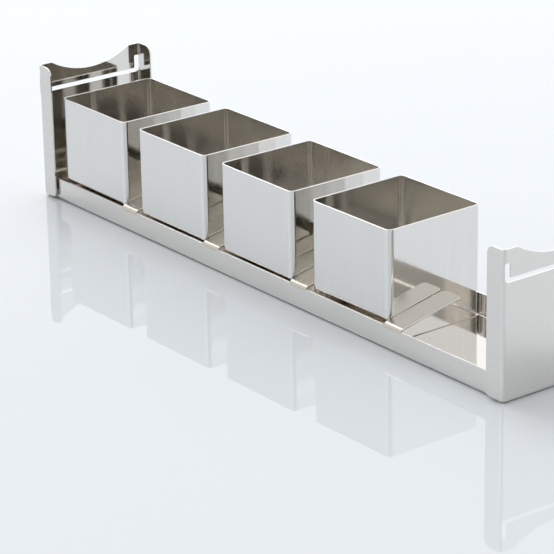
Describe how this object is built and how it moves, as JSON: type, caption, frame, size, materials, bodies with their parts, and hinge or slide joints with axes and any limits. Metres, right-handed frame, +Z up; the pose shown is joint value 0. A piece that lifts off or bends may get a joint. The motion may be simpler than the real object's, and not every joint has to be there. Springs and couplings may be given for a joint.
{
  "type": "travel cake mould",
  "caption": "Long folded steel tray with upright slotted ends and upright spacer tongues, carrying loose bottomless square cube moulds in a row, one bay left empty.",
  "frame": {"origin": "bottom centre of the tray, on the surface that it stands on", "axes": "+X along the tray towards the empty bay, the front wall with the tongues faces -Y, +Z up"},
  "size_m": [0.3888, 0.0688, 0.0769],
  "materials": {
    "tray_steel": "bright satin stainless sheet",
    "tongue_steel": "satin stainless strip",
    "mould_steel": "bright satin stainless sheet, brushed upright"
  },
  "bodies": {
    "tray_body": {"tray": "tray_steel", "spacer_tongue_1": "tongue_steel", "spacer_tongue_2": "tongue_steel", "spacer_tongue_3": "tongue_steel", "spacer_tongue_4": "tongue_steel"},
    "mould_body_1": {"cube_mould_1": "mould_steel"},
    "mould_body_2": {"cube_mould_2": "mould_steel"},
    "mould_body_3": {"cube_mould_3": "mould_steel"},
    "mould_body_4": {"cube_mould_4": "mould_steel"}
  },
  "joints": [
    {"name": "mould_lift_1", "type": "slide", "parent": "tray_body", "child": "mould_body_1", "axis": [0, 0, 1], "range_m": [0, 0.08]},
    {"name": "mould_lift_2", "type": "slide", "parent": "tray_body", "child": "mould_body_2", "axis": [0, 0, 1], "range_m": [0, 0.08]},
    {"name": "mould_lift_3", "type": "slide", "parent": "tray_body", "child": "mould_body_3", "axis": [0, 0, 1], "range_m": [0, 0.08]},
    {"name": "mould_lift_4", "type": "slide", "parent": "tray_body", "child": "mould_body_4", "axis": [0, 0, 1], "range_m": [0, 0.08]}
  ]
}
